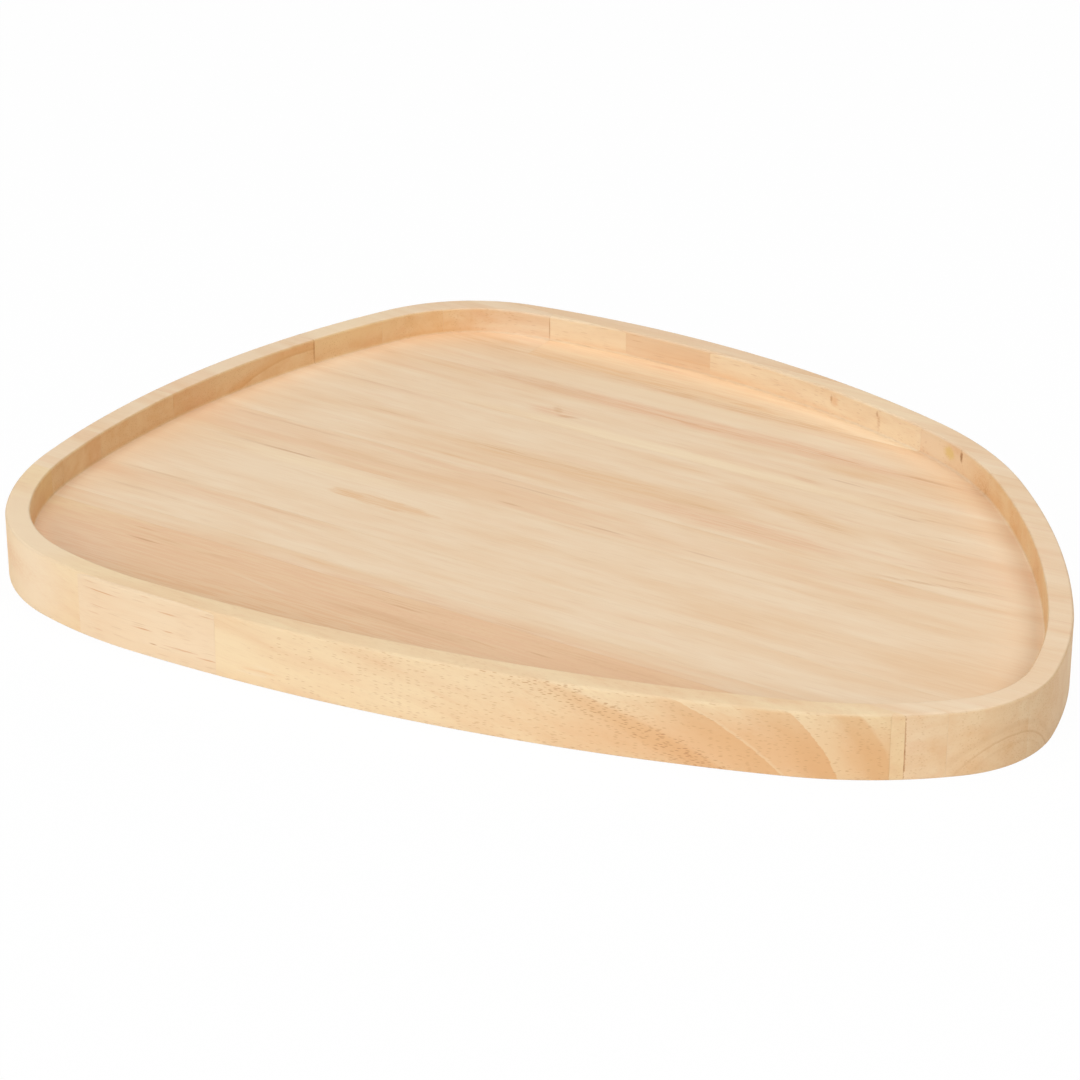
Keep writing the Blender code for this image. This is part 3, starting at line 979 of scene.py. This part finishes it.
finish = oiled_wood(
    "stave_10b",
    {"Seed": 12.0, "Pith Y": 150.0, "Pith Z": -30.0, "Tone": -0.15, "Pale": WHITE_SAP},
    (
        *BACK_LEFT_CORNER_SHADE_AND_HIGHLIGHT,
        zone(TAN, 0.95, -200.0, 85.0, 121.0, 14.0, depth=4.0),
        zone(IVORY, 0.3, -50.0, 70.0, 127.0, 6.0, depth=4.0),
        mark(HONEY, 0.45, (-40.0, 136.0, FLOOR_Z), (160.0, 20.0, 3.5), blur=0.7, ragged=0.3, fibrous=0.3),
        mark(TAN, 0.08, (-51.0, 138.0, 19.0), (21.0, 9.0, 60.0), blur=0.1, ragged=0.1),
        dash(-64.0, -50.0, 140.6, 21.5, 0.4),
        dash(-60.0, -42.0, 140.6, 17.5, 0.4),
        streak(RED_DASH, 0.35, -64.0, -42.0, 137.0, 3.0, fibrous=0.4),
        mark(HONEY, 0.5, (25.0, 132.4, 20.0), (2.8, 4.0, 3.2), blur=0.7, ragged=0.9),
        mark(PORE_BROWN, 0.5, (23.6, 132.7, 20.6), (0.7, 3.0, 2.2), blur=0.7, ragged=0.9),
        mark(STREAK_BROWN, 0.4, (47.4, 127.0, 18.0), (1.2, 4.0, 5.0), blur=0.8, ragged=1.1),
        mark(PORE_BROWN, 0.5, (46.6, 127.0, 21.5), (0.8, 3.0, 1.8), blur=0.7, ragged=0.9),
    ),
)
stave("stave_10b", finish, front=NINTH_SEAM, back=LAST_SEAM, left=BACK_BUTT_JOINT)

finish = oiled_wood("stave_11", {"Seed": 13.0, "Pith Y": 160.0, "Pith Z": -30.0, "Tone": 0.2})
stave("stave_11", finish, front=LAST_SEAM)
panel.free()

# The studio. A white floor runs out of sight under a white sky. One wide soft lamp hangs over the tray, one
# stands in front of it and one at its right. The camera looks down on it from the right of its front.
FLOOR_RADIUS = 8.0
FLOOR_SIDES = 96
FLOOR_ROUGHNESS = 0.9
FLOOR_WHITENESS = 0.97
SKY_LIGHT = 0.06
LAMP_DISTANCE = 2.6
CAMERA_PLACE = Vector((0.6508, -1.0620, 0.6109))
CAMERA_AIM = Vector((-0.02697, 0.00184, 0.0))
LENS_MM = 126.2
SENSOR_MM = 36.0
WHITE = (1.0, 1.0, 1.0, 1.0)
FLOOR_PAINT = (0.88, 0.88, 0.88, 1.0)


def seen_directly(tree):
    """1 for what the camera sees, also in a gloss or through glass, and 0 for light falling on things."""
    camera_ray = lay(tree, "ShaderNodeLightPath", {}, "Is Camera Ray")
    glossy_ray = lay(tree, "ShaderNodeLightPath", {}, "Is Glossy Ray")
    clear_ray = lay(tree, "ShaderNodeLightPath", {}, "Is Transmission Ray")
    return maths(tree, "MAXIMUM", maths(tree, "MAXIMUM", camera_ray, glossy_ray), clear_ray)


def studio_floor():
    bm = bmesh.new()
    bmesh.ops.create_circle(bm, cap_ends=True, radius=FLOOR_RADIUS, segments=FLOOR_SIDES)
    mesh = bpy.data.meshes.new("studio_floor")
    bm.to_mesh(mesh)
    bm.free()
    material = bpy.data.materials.new("studio_floor")
    material.use_nodes = True
    tree = material.node_tree
    shader = tree.nodes["Principled BSDF"]
    shader.inputs["Base Color"].default_value = FLOOR_PAINT
    shader.inputs["Roughness"].default_value = FLOOR_ROUGHNESS
    glow = lay(tree, "ShaderNodeEmission", {"Color": WHITE, "Strength": 1.0})
    share = maths(tree, "MULTIPLY", seen_directly(tree), FLOOR_WHITENESS)
    surface = lay(tree, "ShaderNodeMixShader", {0: share, 1: shader.outputs[0], 2: glow})
    tree.links.new(surface, tree.nodes["Material Output"].inputs["Surface"])
    mesh.materials.append(material)
    piece = bpy.data.objects.new("studio_floor", mesh)
    bpy.context.scene.collection.objects.link(piece)


def studio_sky():
    world = bpy.data.worlds.new("studio_sky")
    world.use_nodes = True
    tree = world.node_tree
    tree.nodes.clear()
    light = lay(tree, "ShaderNodeBackground", {"Color": WHITE, "Strength": SKY_LIGHT})
    white = lay(tree, "ShaderNodeBackground", {"Color": WHITE, "Strength": 1.0})
    surface = lay(tree, "ShaderNodeMixShader", {0: seen_directly(tree), 1: light, 2: white})
    output = tree.nodes.new("ShaderNodeOutputWorld")
    tree.links.new(surface, output.inputs["Surface"])
    bpy.context.scene.world = world


def aim(item, place, target):
    item.location = place
    item.rotation_euler = (target - place).to_track_quat("-Z", "Y").to_euler()
    bpy.context.scene.collection.objects.link(item)


def soft_lamp(name, azimuth_deg, elevation_deg, size, power):
    """A round soft lamp that faces the tray."""
    lamp = bpy.data.lights.new(name, "AREA")
    lamp.shape = "DISK"
    lamp.size = size
    lamp.energy = power
    level = math.cos(math.radians(elevation_deg)) * direction(math.radians(azimuth_deg))
    place = LAMP_DISTANCE * (level + Vector((0.0, 0.0, math.sin(math.radians(elevation_deg)))))
    aim(bpy.data.objects.new(name, lamp), place, Vector((0.0, 0.0, 0.0)))


studio_floor()
studio_sky()
soft_lamp("front_lamp", azimuth_deg=-99.0, elevation_deg=22.0, size=1.8, power=40.5)
soft_lamp("right_lamp", azimuth_deg=0.0, elevation_deg=50.0, size=1.6, power=29.5)
soft_lamp("overhead_lamp", azimuth_deg=180.0, elevation_deg=80.0, size=2.2, power=31.0)
lens = bpy.data.cameras.new("camera")
lens.lens = LENS_MM
lens.sensor_width = SENSOR_MM
camera = bpy.data.objects.new("camera", lens)
aim(camera, CAMERA_PLACE, CAMERA_AIM)
bpy.context.scene.camera = camera
bpy.context.scene.view_settings.view_transform = "Standard"
